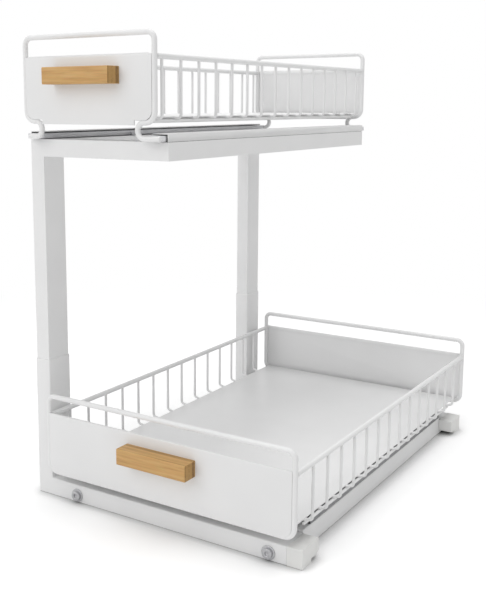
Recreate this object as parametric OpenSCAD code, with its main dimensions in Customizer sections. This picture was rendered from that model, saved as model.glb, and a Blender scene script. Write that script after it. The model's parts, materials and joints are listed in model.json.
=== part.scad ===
// Two-tier pull-out cabinet basket.
// An L-shaped stand of rectangular steel tube carries a wide basket on its base
// and a narrow one on its shelf. Each basket slides out to the front (-Y) on
// runners held under C-shaped tracks. +X is to the right, +Z is up, and the
// origin lies under the middle of the bounding box.

/* [Base] */
// Width of the base, over the posts and the end caps
base_w = 300; // [270:1:360]
// Depth of the base, front face to rear face
base_d = 417; // [380:1:500]
// Wide side of the base tube
tube_w = 30.5; // [28:0.5:34]
// Narrow side of the base tube
tube_t = 18; // [17:0.5:20]
// Wall of every tube
tube_wall = 1; // [0.8:0.1:1.4]
// Width of a base side rail
rail_w = 35; // [32:0.5:38]
// Height of a base side rail
rail_h = 20; // [19:0.5:24]
// Distance from the right end of the base to the right side rail
rail_inset = 15.3; // [12:0.1:20]
// Distance from the left end of the base to the left side rail
left_rail_inset = 33.6; // [30:0.1:36]
// Height of the side rails' screws above the floor
screw_z = 7.5; // [7.5:0.1:10]
// Length of an end cap that shows past the tube
cap_len = 15; // [10:0.5:20]

/* [Posts] */
// Height of the lower sleeve of each post
sleeve_h = 140.5; // [110:0.5:180]
// Gap all round between an upper post and its sleeve
plug_gap = 0.1; // [0.05:0.05:0.2]
// Length of the upper post that stands inside its sleeve
plug_len = 60; // [30:1:90]

/* [Shelf] */
// Height of the top face of the shelf frame
shelf_top = 357.5; // [300:0.5:420]
// Height of the shelf tubes
shelf_h = 16.5; // [15:0.5:18]
// Right end of the shelf frame, from the left side of the base
shelf_end = 162.8; // [150:0.1:180]

/* [Tracks] */
// Height of a track above the rail that it stands on
track_h = 7.5; // [7.3:0.1:8]
// Width of a track's top flange
track_w = 17.2; // [16:0.1:20]
// Sheet thickness of a track
track_t = 0.9; // [0.7:0.1:1]
// Thickness of the plastic liner inside a track
liner_t = 1.1; // [0.8:0.1:1.2]
// Distance of the lower tracks' front ends behind the front of the base
low_track_start = 45; // [40:1:50]
// Gap between the lower tracks and the rear base tube
low_track_end_gap = 1; // [0:0.5:4]
// How far the lower basket slides out
low_travel = 245; // [200:5:250]
// How far the upper basket slides out
up_travel = 290; // [240:5:300]
// Width of a runner
runner_w = 11; // [9:0.5:12]
// Height of a runner
runner_h = 4.9; // [4.5:0.1:5]
// Sheet thickness of a runner
runner_t = 1.2; // [0.8:0.1:1.6]
// Running clearance of the runners and the wire feet
run_gap = 0.3; // [0.2:0.05:0.4]

/* [Wire] */
// Diameter of the frame wire
wire_d = 5; // [4.5:0.1:5]
// Diameter of the top side rails
rail_wire_d = 5; // [4:0.1:5.5]
// Diameter of the lower side rails
low_wire_d = 3; // [2.5:0.1:3.2]
// Diameter of the thin cross wires
thin_d = 2.8; // [2:0.1:3]

/* [Baskets] */
// Length of both baskets, over the front and rear wires
basket_len = 442; // [425:0.5:450]
// Overhang of the baskets in front of the base
overhang = 10.5; // [7:0.5:12]
// Height of the sheet panels
panel_h = 61; // [50:0.5:80]
// Height of the guard wire above the panels
guard_h = 20.7; // [14:0.1:26]
// Sheet thickness of the panels
panel_t = 1.2; // [0.8:0.1:1.6]
// Height of the folded hem on a panel's edge
hem_h = 3.5; // [3:0.25:5]
// Set-back of the panel face behind the front of the wire
panel_recess = 0.6; // [0.4:0.1:1]
// Inside corner radius of the frame wire at the top
top_r = 4.5; // [3:0.5:8]
// Outside corner radius of the basket's bottom edges
bottom_r = 12; // [11:0.5:14]
// Gap between the lower basket's underside and its tracks
low_gap = 0.7; // [0.5:0.1:4]
// Gap between the lower basket and the posts
side_gap = 3.4; // [1:0.1:5]
// Gap between the lower basket and the right end of the base
end_gap = 1.7; // [0:0.1:3]
// Height of the upper basket's underside above the shelf
foot_h = 14.5; // [13.5:0.25:18]
// Left side of the upper basket, from the left side of the base
up_x = 3.3; // [2:0.1:6]
// Width of the upper basket
up_w = 154.2; // [150:0.1:158]
// Thin wires along the lower basket
low_wires = 14; // [10:1:16]
// Thin wires along the upper basket
up_wires = 15; // [10:1:16]
// First thin wire of the lower basket, behind the basket's front
low_first = 34.1; // [25:0.1:40]
// Last thin wire of the lower basket, in front of the basket's rear
low_last = 35.5; // [25:0.1:40]
// First thin wire of the upper basket, behind the basket's front
up_first = 11.5; // [8:0.1:20]
// Last thin wire of the upper basket, in front of the basket's rear
up_last = 23.8; // [15:0.1:30]
// Distance of the upper basket's wire feet from its sides
foot_in = 21; // [19:0.5:23]
// Bend radius of the wire feet, at the centre line
foot_r = 5; // [4:0.5:5.5]
// Sheet thickness of the trays
tray_t = 1; // [0.8:0.1:1.5]

/* [Handles] */
// Length of a wooden handle
handle_w = 76; // [60:1:100]
// Height of a wooden handle
handle_h = 15.3; // [12:0.1:20]
// Depth of a wooden handle
handle_d = 17; // [12:0.5:20]
// Distance of a handle below the top edge of its panel
handle_drop = 9.8; // [6:0.1:14]
// Spacing of the two screws of a handle
handle_pitch = 50; // [40:1:55]

/* [Hidden] */
$fn = 32;

white = "whitesmoke";
cap_white = "gainsboro";
wood = "burlywood";
zinc = "silver";
black = "#222222";

// Fasteners
frame_screw_d = 6;
frame_head_d = 9.6;
frame_head_h = 2.6;
frame_washer_d = 13.2;
frame_washer_t = 1.2;
hex_af = 4;
hex_deep = 1.6;
screw_play = 0.15;
handle_screw_d = 4;
handle_head_d = 8;
handle_head_h = 2.4;
handle_screw_in = 10;
rail_plate_t = 3;
screw_past_plate = 3;
cut = 1;
touch = 0.02;
tube_r = 1;

// Posts and shelf
post_inset = tube_wall + plug_gap;
post_w = tube_w - 2 * post_inset;
post_t = tube_t - 2 * post_inset;
shelf_x0 = post_inset;
shelf_y0 = post_inset;
shelf_y1 = base_d - post_inset;
shelf_z0 = shelf_top - shelf_h;

// Base rails
rail_right_x = base_w - rail_inset - rail_w;
rail_left_x = left_rail_inset;

// Baskets in the frame of the base
low_x = tube_t + side_gap;
low_w = base_w - end_gap - low_x;
low_z = rail_h + track_h + low_gap;
basket_y = -overhang;
up_z = shelf_top + foot_h;
basket_h = panel_h + guard_h;
wire_r = wire_d / 2;
thin_r = thin_d / 2;
side_rail_drop = 2;
side_rail_z = panel_h - side_rail_drop;
bend_r = 9;
corner_r = bottom_r - wire_r;
guard_r = top_r + wire_r;
inner_y0 = wire_d;
inner_y1 = basket_len - wire_d;
low_pitch = (basket_len - low_first - low_last) / (low_wires - 1);
up_pitch = (basket_len - up_first - up_last) / (up_wires - 1);

// Floor: thin cross wires welded on the lower side rails, tray sheet on top
weld = 0.2;
low_rail_x = thin_r + bend_r;
floor_z = wire_r + low_wire_d / 2 + thin_r - weld;
tray_x0 = low_rail_x + weld;
tray_z0 = floor_z + thin_r;
tray_end_gap = 1;

// Tracks, runners and the wire feet that carry the baskets
track_web = 1.2;
runner_gap = track_web + liner_t + run_gap;
foot_leg_z = wire_r + run_gap;
foot_tip = runner_gap + 1.5;
up_tip_front = 8;
low_track_y0 = low_track_start;
low_track_y1 = base_d - tube_w - low_track_end_gap;
low_foot_wire = [1, low_wires - 2];
low_foot_reach = 26;
low_foot_bend = 3.4;
stop_d = 5;
stop_h = 3;
stop_x = 21.5;
stop_gap = 0.3;

// Handle and origin
handle_round = 1;
panel_y = panel_recess;
handle_y = panel_y - handle_d;
handle_z = panel_h - handle_drop - handle_h;
y_mid = (basket_y + handle_y + basket_y + basket_len) / 2;

module placed() translate([-base_w / 2, -y_mid, 0]) children();

// ---------- shapes ----------

// Rectangle with four round corners
module round_rect(w, h, r) {
    translate([r, 0]) square([w - 2 * r, h]);
    translate([0, r]) square([w, h - 2 * r]);
    for (x = [r, w - r], y = [r, h - r]) translate([x, y]) circle(r = r);
}

module tube_profile(w, h) difference() {
    round_rect(w, h, tube_r);
    translate([tube_wall, tube_wall]) square([w - 2 * tube_wall, h - 2 * tube_wall]);
}

// Rectangular tubes with open ends and rounded long edges
module tube_along_x(size)
    rotate([90, 0, 90]) linear_extrude(size[0]) tube_profile(size[1], size[2]);
module tube_along_y(size)
    translate([0, size[1], 0]) rotate([90, 0, 0])
        linear_extrude(size[1]) tube_profile(size[0], size[2]);
module tube_along_z(size) linear_extrude(size[2]) tube_profile(size[0], size[1]);

// Straight round wire between two points of a plane
module straight(p, q, d) {
    v = q - p;
    translate([p[0], p[1], 0]) rotate([0, 0, atan2(v[1], v[0])])
        rotate([0, 90, 0]) cylinder(h = norm(v), d = d);
}

function unit(v) = v / norm(v);
function flat(p) = [p[0], p[1]];
function turn_in(pts, i) = unit(flat(pts[i]) - flat(pts[i - 1]));
function turn_out(pts, i) = unit(flat(pts[i + 1]) - flat(pts[i]));
function turn_angle(pts, i) = acos(max(-1, min(1, turn_in(pts, i) * turn_out(pts, i))));
function turn_side(pts, i) = cross(turn_in(pts, i), turn_out(pts, i)) > 0 ? 1 : -1;
function trim(pts, i) =
    i == 0 || i == len(pts) - 1 ? 0 : pts[i][2] * tan(turn_angle(pts, i) / 2);

// Bent wire in the XY plane through points [x, y, bend radius]
module bent_wire(pts, d) {
    last = len(pts) - 1;
    for (i = [0:last - 1]) {
        dir = unit(flat(pts[i + 1]) - flat(pts[i]));
        straight(flat(pts[i]) + dir * trim(pts, i), flat(pts[i + 1]) - dir * trim(pts, i + 1), d);
    }
    for (i = [1:last - 1]) {
        side = turn_side(pts, i);
        dir = turn_in(pts, i);
        normal = side * [-dir[1], dir[0]];
        centre = flat(pts[i]) - dir * trim(pts, i) + normal * pts[i][2];
        start = atan2(-normal[1], -normal[0]);
        translate([centre[0], centre[1], 0])
            rotate([0, 0, side > 0 ? start : start - turn_angle(pts, i)])
                rotate_extrude(angle = turn_angle(pts, i)) translate([pts[i][2], 0]) circle(d = d);
    }
}

// Stand a shape drawn in XY up in the XZ plane
module upright() rotate([90, 0, 0]) children();

// Wire along Y
module long_wire(x, z, y0, y1, d)
    translate([x, y0, z]) rotate([-90, 0, 0]) cylinder(h = y1 - y0, d = d);

// Pan-head screw along +Y from the underside of its head, with a hexagon socket
module screw(d, len, head_d, head_h) {
    rotate([-90, 0, 0]) cylinder(h = len, d = d);
    difference() {
        rotate([90, 0, 0]) cylinder(h = head_h, d = head_d);
        translate([0, -head_h - cut, 0]) rotate([-90, 0, 0])
            cylinder(h = cut + hex_deep, d = hex_af / cos(30), $fn = 6);
    }
}

// ---------- stand ----------

module sleeve() tube_along_z([tube_t, tube_w, sleeve_h]);

// Base tube from the sleeve to the end cap, drilled for the rail screws
module base_tube() {
    difference() {
        translate([tube_t, 0, 0]) tube_along_x([base_w - tube_t - cap_len, tube_w, tube_t]);
        for (x = [rail_left_x, rail_right_x])
            translate([x + rail_w / 2, -cut, screw_z])
                rotate([-90, 0, 0]) cylinder(h = tube_w + 2 * cut, d = frame_screw_d + 2 * screw_play);
    }
}

// Side rail: flat tube with a tapped plate closing each end
module base_rail(x) {
    length = base_d - 2 * tube_w;
    translate([x, tube_w, 0]) difference() {
        union() {
            tube_along_y([rail_w, length, rail_h]);
            for (y = [0, length - rail_plate_t])
                translate([tube_wall, y, tube_wall])
                    cube([rail_w - 2 * tube_wall, rail_plate_t, rail_h - 2 * tube_wall]);
        }
        for (y = [-cut, length - rail_plate_t - cut])
            translate([rail_w / 2, y, screw_z]) rotate([-90, 0, 0])
                cylinder(h = rail_plate_t + 2 * cut, d = frame_screw_d + 2 * screw_play);
    }
}

// Plastic plug with a block of the tube's own section that closes its end
module end_cap() {
    sole = 17;
    lift = 4;
    slope = 2.5;
    plug_d = 12;
    plug_play = 0.1;
    edge = tube_wall + plug_play;
    difference() {
        union() {
            translate([base_w - cap_len, 0, 0]) rotate([90, 0, 90])
                linear_extrude(cap_len) round_rect(tube_w, tube_t, tube_r);
            translate([base_w - cap_len - plug_d, edge, edge])
                cube([plug_d, tube_w - 2 * edge, tube_t - 2 * edge]);
        }
        translate([base_w - cap_len - touch, 0, 0]) rotate([90, 0, 90])
            linear_extrude(cap_len + cut) polygon([
                [sole, -cut], [sole, lift], [tube_w - slope, lift],
                [tube_w, lift + slope], [tube_w + cut, lift + slope], [tube_w + cut, -cut]
            ]);
    }
}

module at_rear() translate([0, base_d, 0]) mirror([0, 1, 0]) children();

// Upper post: the smaller tube that stands in the sleeve and carries the shelf
module post()
    translate([post_inset, post_inset, sleeve_h - plug_len])
        tube_along_z([post_t, post_w, shelf_z0 - sleeve_h + plug_len]);

module shelf_cross_tube()
    translate([shelf_x0, shelf_y0, shelf_z0])
        tube_along_x([shelf_end - shelf_x0, post_w, shelf_h]);

module shelf_side_tube(x)
    translate([x, shelf_y0 + post_w, shelf_z0])
        tube_along_y([post_w, shelf_y1 - shelf_y0 - 2 * post_w, shelf_h]);

module each_frame_screw()
    for (x = [rail_left_x, rail_right_x]) translate([x + rail_w / 2, 0, screw_z]) children();

module frame_screw_pair()
    each_frame_screw() translate([0, -frame_washer_t, 0])
        screw(frame_screw_d, frame_washer_t + tube_w + rail_plate_t + screw_past_plate,
              frame_head_d, frame_head_h);

module frame_washer_pair()
    each_frame_screw() rotate([90, 0, 0]) difference() {
        cylinder(h = frame_washer_t, d = frame_washer_d);
        translate([0, 0, -cut])
            cylinder(h = frame_washer_t + 2 * cut, d = frame_screw_d + 2 * screw_play);
    }

// ---------- tracks ----------
// A track is drawn for the left side: its web stands at x = 0 and its flange
// reaches inward, to +x. z = 0 is the top of the rail below it.

module track(y0, y1)
    translate([0, y0, 0]) {
        cube([track_web, y1 - y0, track_h]);
        translate([0, 0, track_h - track_t]) cube([track_w, y1 - y0, track_t]);
    }

module liner(y0, y1)
    translate([track_web, y0, 0]) {
        cube([liner_t, y1 - y0, track_h - track_t]);
        translate([0, 0, track_h - track_t - liner_t]) cube([track_w - track_web - 1, y1 - y0, liner_t]);
    }

// Runner: folded strip, open below, that slides on the rail under the flange
module runner(y0, y1)
    translate([runner_gap, y0, run_gap]) difference() {
        cube([runner_w, y1 - y0, runner_h]);
        translate([runner_t, -cut, -cut])
            cube([runner_w - 2 * runner_t, y1 - y0 + 2 * cut, runner_h - runner_t + cut]);
    }

module stop_pin(y) translate([stop_x, y, 0]) cylinder(h = stop_h, d = stop_d);

module low_left() translate([rail_left_x, 0, rail_h]) children();
module low_right() translate([rail_right_x + rail_w, 0, rail_h]) mirror([1, 0, 0]) children();
module up_left() translate([shelf_x0, 0, shelf_top]) children();
module up_right() translate([shelf_end, 0, shelf_top]) mirror([1, 0, 0]) children();

// ---------- baskets ----------
// A basket is drawn from its outer left, front and bottom planes.

// Closed frame wire of the lower basket, standing in the XZ plane
module closed_frame(w)
    translate([0, wire_r, 0]) upright() bent_wire([
        [w / 2, wire_r, 0],
        [w - wire_r, wire_r, corner_r], [w - wire_r, basket_h - wire_r, guard_r],
        [wire_r, basket_h - wire_r, guard_r], [wire_r, wire_r, corner_r],
        [w / 2, wire_r, 0]
    ], wire_d);

// Frame wire of the upper basket, whose two ends turn down into C-shaped feet
module footed_frame(w, leg_z, tip_near, tip_far)
    translate([0, wire_r, 0]) upright() bent_wire([
        [tip_near, leg_z, 0], [foot_in, leg_z, foot_r], [foot_in, wire_r, foot_r],
        [wire_r, wire_r, corner_r], [wire_r, basket_h - wire_r, guard_r],
        [w - wire_r, basket_h - wire_r, guard_r], [w - wire_r, wire_r, corner_r],
        [w - foot_in, wire_r, foot_r], [w - foot_in, leg_z, foot_r], [tip_far, leg_z, 0]
    ], wire_d);

// Outline of a panel: inside the frame wire, down to its lower edge
module panel_outline(w) {
    side = wire_d;
    r = corner_r - wire_r;
    translate([side, panel_h / 2]) square([w - 2 * side, panel_h / 2]);
    translate([side + r, side]) square([w - 2 * side - 2 * r, panel_h / 2]);
    translate([side, side + r]) square([w - 2 * side, panel_h / 2]);
    for (x = [side + r, w - side - r]) translate([x, side + r]) circle(r = r);
}

// Sheet panel with a folded top hem; drop lowers its edge between the feet
module panel(w, drop_x0, drop_x1) {
    hem_in = 4;
    difference() {
        translate([0, panel_y + panel_t, 0]) {
            upright() linear_extrude(panel_t) panel_outline(w);
            translate([wire_d + hem_in, -touch, panel_h - hem_h])
                cube([w - 2 * wire_d - 2 * hem_in, panel_t + touch, hem_h]);
            if (drop_x1 > drop_x0)
                translate([drop_x0, -panel_t, 0]) cube([drop_x1 - drop_x0, panel_t, wire_d + touch]);
        }
        for (x = [-1, 1])
            translate([w / 2 + x * handle_pitch / 2, panel_y - cut, handle_z + handle_h / 2])
                rotate([-90, 0, 0]) cylinder(h = panel_t + 2 * cut, d = handle_screw_d + 2 * screw_play);
    }
}

// Plain rear panel of the same outline, without the handle's holes
module rear_panel(w, drop_x0, drop_x1) {
    hem_in = 4;
    translate([0, panel_y + panel_t, 0]) {
        upright() linear_extrude(panel_t) panel_outline(w);
        translate([wire_d + hem_in, -touch, panel_h - hem_h])
            cube([w - 2 * wire_d - 2 * hem_in, panel_t + touch, hem_h]);
        if (drop_x1 > drop_x0)
            translate([drop_x0, -panel_t, 0]) cube([drop_x1 - drop_x0, panel_t, wire_d + touch]);
    }
}

// Left side: top rail, lower rail, and thin wires that turn in under the tray
module grille(count, first, pitch) {
    long_wire(rail_wire_d / 2, side_rail_z, inner_y0, inner_y1, rail_wire_d);
    long_wire(low_rail_x, wire_r, inner_y0, inner_y1, low_wire_d);
    for (i = [0:count - 1]) translate([0, first + i * pitch, 0]) upright() bent_wire([
        [thin_r, side_rail_z, 0], [thin_r, floor_z, bend_r], [bottom_r, floor_z, 0]
    ], thin_d);
}

module floor_wires(w, count, first, pitch)
    for (i = [0:count - 1])
        translate([bottom_r, first + i * pitch, floor_z]) rotate([0, 90, 0])
            cylinder(h = w - 2 * bottom_r, d = thin_d);

// Flat tray sheet on the cross wires
module tray(w)
    translate([tray_x0, inner_y0 + tray_end_gap, tray_z0])
        cube([w - 2 * tray_x0, inner_y1 - inner_y0 - 2 * tray_end_gap, tray_t]);

// Wooden bar with rounded long edges and two blind screw holes at its back
module handle(w)
    translate([(w - handle_w) / 2, handle_y, handle_z]) difference() {
        rotate([90, 0, 90]) linear_extrude(handle_w) round_rect(handle_d, handle_h, handle_round);
        for (x = [-1, 1])
            translate([handle_w / 2 + x * handle_pitch / 2, handle_d + cut, handle_h / 2])
                rotate([90, 0, 0])
                    cylinder(h = handle_screw_in + 2 * cut, d = handle_screw_d + 2 * screw_play);
    }

module handle_screws(w)
    for (x = [-1, 1])
        translate([w / 2 + x * handle_pitch / 2, panel_y + panel_t, handle_z + handle_h / 2])
            rotate([0, 0, 180])
                screw(handle_screw_d, panel_t + handle_screw_in, handle_head_d, handle_head_h);

module other_side(w) translate([w, 0, 0]) mirror([1, 0, 0]) children();
module turned(w) translate([w, basket_len, 0]) rotate([0, 0, 180]) children();
module low() translate([low_x, basket_y, low_z]) children();
module up() translate([up_x, basket_y, up_z]) children();

// Wire foot of the lower basket: up to the floor wire, out to the runner
module low_foot(y)
    translate([0, y, 0]) upright() bent_wire([
        [foot_tip, foot_leg_z, 0], [low_foot_reach, foot_leg_z, low_foot_bend],
        [low_foot_reach, low_z - rail_h + floor_z - thin_r, 0]
    ], wire_d);

low_foot_y = [for (i = low_foot_wire) basket_y + low_first + i * low_pitch];
low_runner_y = [low_foot_y[0] + wire_r, low_foot_y[1] - wire_r];
up_runner_y = [basket_y + wire_d, basket_y + basket_len - wire_d];
up_leg_z = shelf_top + foot_leg_z - up_z;
up_tip_left = shelf_x0 - up_x;
up_tip_right = shelf_end - up_x;
up_drop = [foot_in + wire_r, up_w - foot_in - wire_r];

// ---------- named pieces ----------

module front_sleeve() placed() color(white) sleeve();
module rear_sleeve() placed() color(white) at_rear() sleeve();
module front_base_tube() placed() color(white) base_tube();
module rear_base_tube() placed() color(white) at_rear() base_tube();
module left_base_rail() placed() color(white) base_rail(rail_left_x);
module right_base_rail() placed() color(white) base_rail(rail_right_x);
module front_end_cap() placed() color(cap_white) end_cap();
module rear_end_cap() placed() color(cap_white) at_rear() end_cap();
module front_post() placed() color(white) post();
module rear_post() placed() color(white) at_rear() post();
module shelf_front_tube() placed() color(white) shelf_cross_tube();
module shelf_rear_tube() placed() color(white) at_rear() shelf_cross_tube();
module shelf_left_tube() placed() color(white) shelf_side_tube(shelf_x0);
module shelf_right_tube() placed() color(white) shelf_side_tube(shelf_end - post_w);

module frame_screws() placed() color(zinc) {
    frame_screw_pair();
    at_rear() frame_screw_pair();
}

module frame_washers() placed() color(zinc) {
    frame_washer_pair();
    at_rear() frame_washer_pair();
}

module lower_left_track() placed() color(white) low_left() track(low_track_y0, low_track_y1);
module lower_right_track() placed() color(white) low_right() track(low_track_y0, low_track_y1);
module upper_left_track() placed() color(white) up_left() track(shelf_y0, shelf_y1);
module upper_right_track() placed() color(white) up_right() track(shelf_y0, shelf_y1);

module lower_track_liners() placed() color(black) {
    low_left() liner(low_track_y0, low_track_y1);
    low_right() liner(low_track_y0, low_track_y1);
}

module upper_track_liners() placed() color(black) {
    up_left() liner(shelf_y0, shelf_y1);
    up_right() liner(shelf_y0, shelf_y1);
}

module lower_stop_pins() placed() color(zinc) {
    y = low_runner_y[1] - low_travel - stop_gap - stop_d / 2;
    low_left() stop_pin(y);
    low_right() stop_pin(y);
}

module upper_stop_pins() placed() color(zinc) {
    y = up_runner_y[1] - up_travel - stop_gap - stop_d / 2;
    up_left() stop_pin(y);
    up_right() stop_pin(y);
}

module lower_front_frame() placed() color(white) low() closed_frame(low_w);
module lower_rear_frame() placed() color(white) low() turned(low_w) closed_frame(low_w);
module lower_front_panel() placed() color(white) low() panel(low_w, 0, 0);
module lower_rear_panel() placed() color(white) low() turned(low_w) rear_panel(low_w, 0, 0);
module lower_left_grille() placed() color(white) low() grille(low_wires, low_first, low_pitch);
module lower_right_grille()
    placed() color(white) low() other_side(low_w) grille(low_wires, low_first, low_pitch);
module lower_floor_wires()
    placed() color(white) low() floor_wires(low_w, low_wires, low_first, low_pitch);
module lower_tray() placed() color(white) low() tray(low_w);

module lower_feet() placed() color(white)
    for (y = low_foot_y) {
        low_left() low_foot(y);
        low_right() low_foot(y);
    }

module lower_left_runner()
    placed() color(zinc) low_left() runner(low_runner_y[0], low_runner_y[1]);
module lower_right_runner()
    placed() color(zinc) low_right() runner(low_runner_y[0], low_runner_y[1]);
module lower_handle() placed() color(wood) low() handle(low_w);
module lower_handle_screws() placed() color(zinc) low() handle_screws(low_w);

module upper_front_frame()
    placed() color(white) up() footed_frame(
        up_w, up_leg_z, up_tip_left + up_tip_front, up_tip_right - runner_gap);
module upper_rear_frame() placed() color(white) up() turned(up_w) footed_frame(
    up_w, up_leg_z, up_w - up_tip_right + up_tip_front, up_w - up_tip_left - runner_gap);
module upper_front_panel() placed() color(white) up() panel(up_w, up_drop[0], up_drop[1]);
module upper_rear_panel()
    placed() color(white) up() turned(up_w) rear_panel(up_w, up_drop[0], up_drop[1]);
module upper_left_grille() placed() color(white) up() grille(up_wires, up_first, up_pitch);
module upper_right_grille()
    placed() color(white) up() other_side(up_w) grille(up_wires, up_first, up_pitch);
module upper_floor_wires()
    placed() color(white) up() floor_wires(up_w, up_wires, up_first, up_pitch);
module upper_tray() placed() color(white) up() tray(up_w);
module upper_left_runner() placed() color(zinc) up_left() runner(up_runner_y[0], up_runner_y[1]);
module upper_right_runner()
    placed() color(zinc) up_right() runner(up_runner_y[0], up_runner_y[1]);
module upper_handle() placed() color(wood) up() handle(up_w);
module upper_handle_screws() placed() color(zinc) up() handle_screws(up_w);

front_sleeve();
rear_sleeve();
front_base_tube();
rear_base_tube();
left_base_rail();
right_base_rail();
front_end_cap();
rear_end_cap();
front_post();
rear_post();
shelf_front_tube();
shelf_rear_tube();
shelf_left_tube();
shelf_right_tube();
frame_screws();
frame_washers();
lower_left_track();
lower_right_track();
upper_left_track();
upper_right_track();
lower_track_liners();
upper_track_liners();
lower_stop_pins();
upper_stop_pins();
lower_front_frame();
lower_rear_frame();
lower_front_panel();
lower_rear_panel();
lower_left_grille();
lower_right_grille();
lower_floor_wires();
lower_tray();
lower_feet();
lower_left_runner();
lower_right_runner();
lower_handle();
lower_handle_screws();
upper_front_frame();
upper_rear_frame();
upper_front_panel();
upper_rear_panel();
upper_left_grille();
upper_right_grille();
upper_floor_wires();
upper_tray();
upper_left_runner();
upper_right_runner();
upper_handle();
upper_handle_screws();
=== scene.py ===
"""Looks of a two-tier pull-out cabinet basket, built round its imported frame."""
import json
from math import cos, radians, sin, tan

import bmesh
import bpy
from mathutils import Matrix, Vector

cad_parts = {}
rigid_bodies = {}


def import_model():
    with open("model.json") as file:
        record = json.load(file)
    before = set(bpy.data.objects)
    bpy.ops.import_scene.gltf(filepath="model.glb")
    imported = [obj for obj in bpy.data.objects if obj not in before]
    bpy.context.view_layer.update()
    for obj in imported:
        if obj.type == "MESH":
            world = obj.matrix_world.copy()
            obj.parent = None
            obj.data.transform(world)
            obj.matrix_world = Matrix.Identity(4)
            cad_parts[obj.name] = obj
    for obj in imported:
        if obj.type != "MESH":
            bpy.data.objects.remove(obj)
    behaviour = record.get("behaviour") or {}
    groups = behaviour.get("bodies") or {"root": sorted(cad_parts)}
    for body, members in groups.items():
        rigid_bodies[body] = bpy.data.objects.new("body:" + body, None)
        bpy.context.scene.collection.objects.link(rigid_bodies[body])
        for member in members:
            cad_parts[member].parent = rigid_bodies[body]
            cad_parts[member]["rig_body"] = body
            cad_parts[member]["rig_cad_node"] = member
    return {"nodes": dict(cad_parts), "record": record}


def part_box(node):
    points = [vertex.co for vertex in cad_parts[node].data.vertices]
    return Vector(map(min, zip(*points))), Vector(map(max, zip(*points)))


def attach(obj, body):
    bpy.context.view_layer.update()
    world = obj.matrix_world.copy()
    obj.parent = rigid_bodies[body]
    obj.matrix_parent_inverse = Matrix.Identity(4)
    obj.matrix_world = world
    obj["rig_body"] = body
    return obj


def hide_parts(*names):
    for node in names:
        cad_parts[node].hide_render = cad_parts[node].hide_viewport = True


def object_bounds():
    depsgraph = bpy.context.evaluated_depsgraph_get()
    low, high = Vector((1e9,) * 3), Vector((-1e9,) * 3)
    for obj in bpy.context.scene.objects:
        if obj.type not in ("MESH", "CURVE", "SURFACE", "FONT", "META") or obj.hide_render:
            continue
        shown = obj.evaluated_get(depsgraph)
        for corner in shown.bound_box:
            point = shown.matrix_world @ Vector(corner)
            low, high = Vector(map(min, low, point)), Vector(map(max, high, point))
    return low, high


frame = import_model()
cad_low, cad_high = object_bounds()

bl_info = {
    "name": "Pull-Out Cabinet Basket",
    "version": (1, 0, 0),
    "blender": (4, 5, 0),
    "location": "View3D > Sidebar > Basket",
    "description": "Dresses a two-tier pull-out cabinet basket in steel, plastic and wood",
    "category": "Object",
}

NODES = frame["nodes"]
BODY_OF = {
    node: body
    for body, members in frame["record"]["behaviour"]["bodies"].items()
    for node in members
}
SLOT_OF = {part["node"]: part["material_slot"] for part in frame["record"]["subparts"]}
X, Z = Vector((1, 0, 0)), Vector((0, 0, 1))
WHITE = (1, 1, 1, 1)

# Lengths are in metres
MERGE = 1e-6  # points closer than this become one
WIRE_MERGE = 1e-5  # the same where a closed wire meets itself
OVERLAP = 1e-4  # how far blocks reach into each other to be joined
RIM_BAND = 5e-4  # faces this near a sleeve's top belong to its end
FOOT_BAND = 1e-4  # points this near a track's underside belong to it
DROP_TOP = 0.01  # a panel's lower block ends this far below the panel's top
PARALLEL = 0.9  # least cosine between directions that count as the same
FLAT = radians(0.3)  # faces that turn less than this become one
SHARP = radians(35)  # edges that turn more than this are rounded
CREASE = radians(40)  # edges that turn more than this stay crisp in shading
WIRE_END = 0.12  # share of a wire's diameter that its cut ends are rounded by
FLOOR_SIZE = 30
CONTACT_SAMPLES = 8


def look():
    """The sizes and colours that the sidebar shows."""
    return bpy.context.scene.pullout_basket


# ---------- colours and materials ----------


def linear(hex_colour):
    """An sRGB hex colour as the linear RGBA that shaders take."""
    parts = [int(hex_colour[i:i + 2], 16) / 255 for i in (1, 3, 5)]
    return (*(c / 12.92 if c <= 0.04045 else ((c + 0.055) / 1.055) ** 2.4 for c in parts), 1)


def add_node(tree, kind, settings=None, links=None):
    """Add one shader node with its settings and links and return it."""
    node = tree.nodes.new(kind)
    for key, value in (settings or {}).items():
        if isinstance(key, int) or key in node.inputs:
            node.inputs[key].default_value = value
        else:
            setattr(node, key, value)
    for key, socket in (links or {}).items():
        tree.links.new(socket, node.inputs[key])
    return node


def new_material(name):
    """An empty node material, its tree, and the socket of object coordinates."""
    made = bpy.data.materials.new(name)
    made.use_nodes = True
    made.node_tree.nodes.clear()
    place = add_node(made.node_tree, "ShaderNodeTexCoord").outputs["Object"]
    return made, made.node_tree, place


def surfaced(made, shader):
    """Lead a shader's socket to the material's output."""
    add_node(made.node_tree, "ShaderNodeOutputMaterial", links={"Surface": shader})
    return made


def principled(made, settings, links):
    """Finish a material with one principled shader."""
    shader = add_node(made.node_tree, "ShaderNodeBsdfPrincipled", settings, links)
    return surfaced(made, shader.outputs["BSDF"])


def ramp(tree, factor, *stops):
    """Colour ramp through stops: a position and the name of a sidebar colour each."""
    node = add_node(tree, "ShaderNodeValToRGB", links={"Fac": factor})
    band = node.color_ramp
    while len(band.elements) < len(stops):
        band.elements.new(0.5)
    for element, (position, name) in zip(band.elements, stops):
        element.position, element.color = position, linear(getattr(look(), name))
    return node.outputs["Color"]


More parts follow.
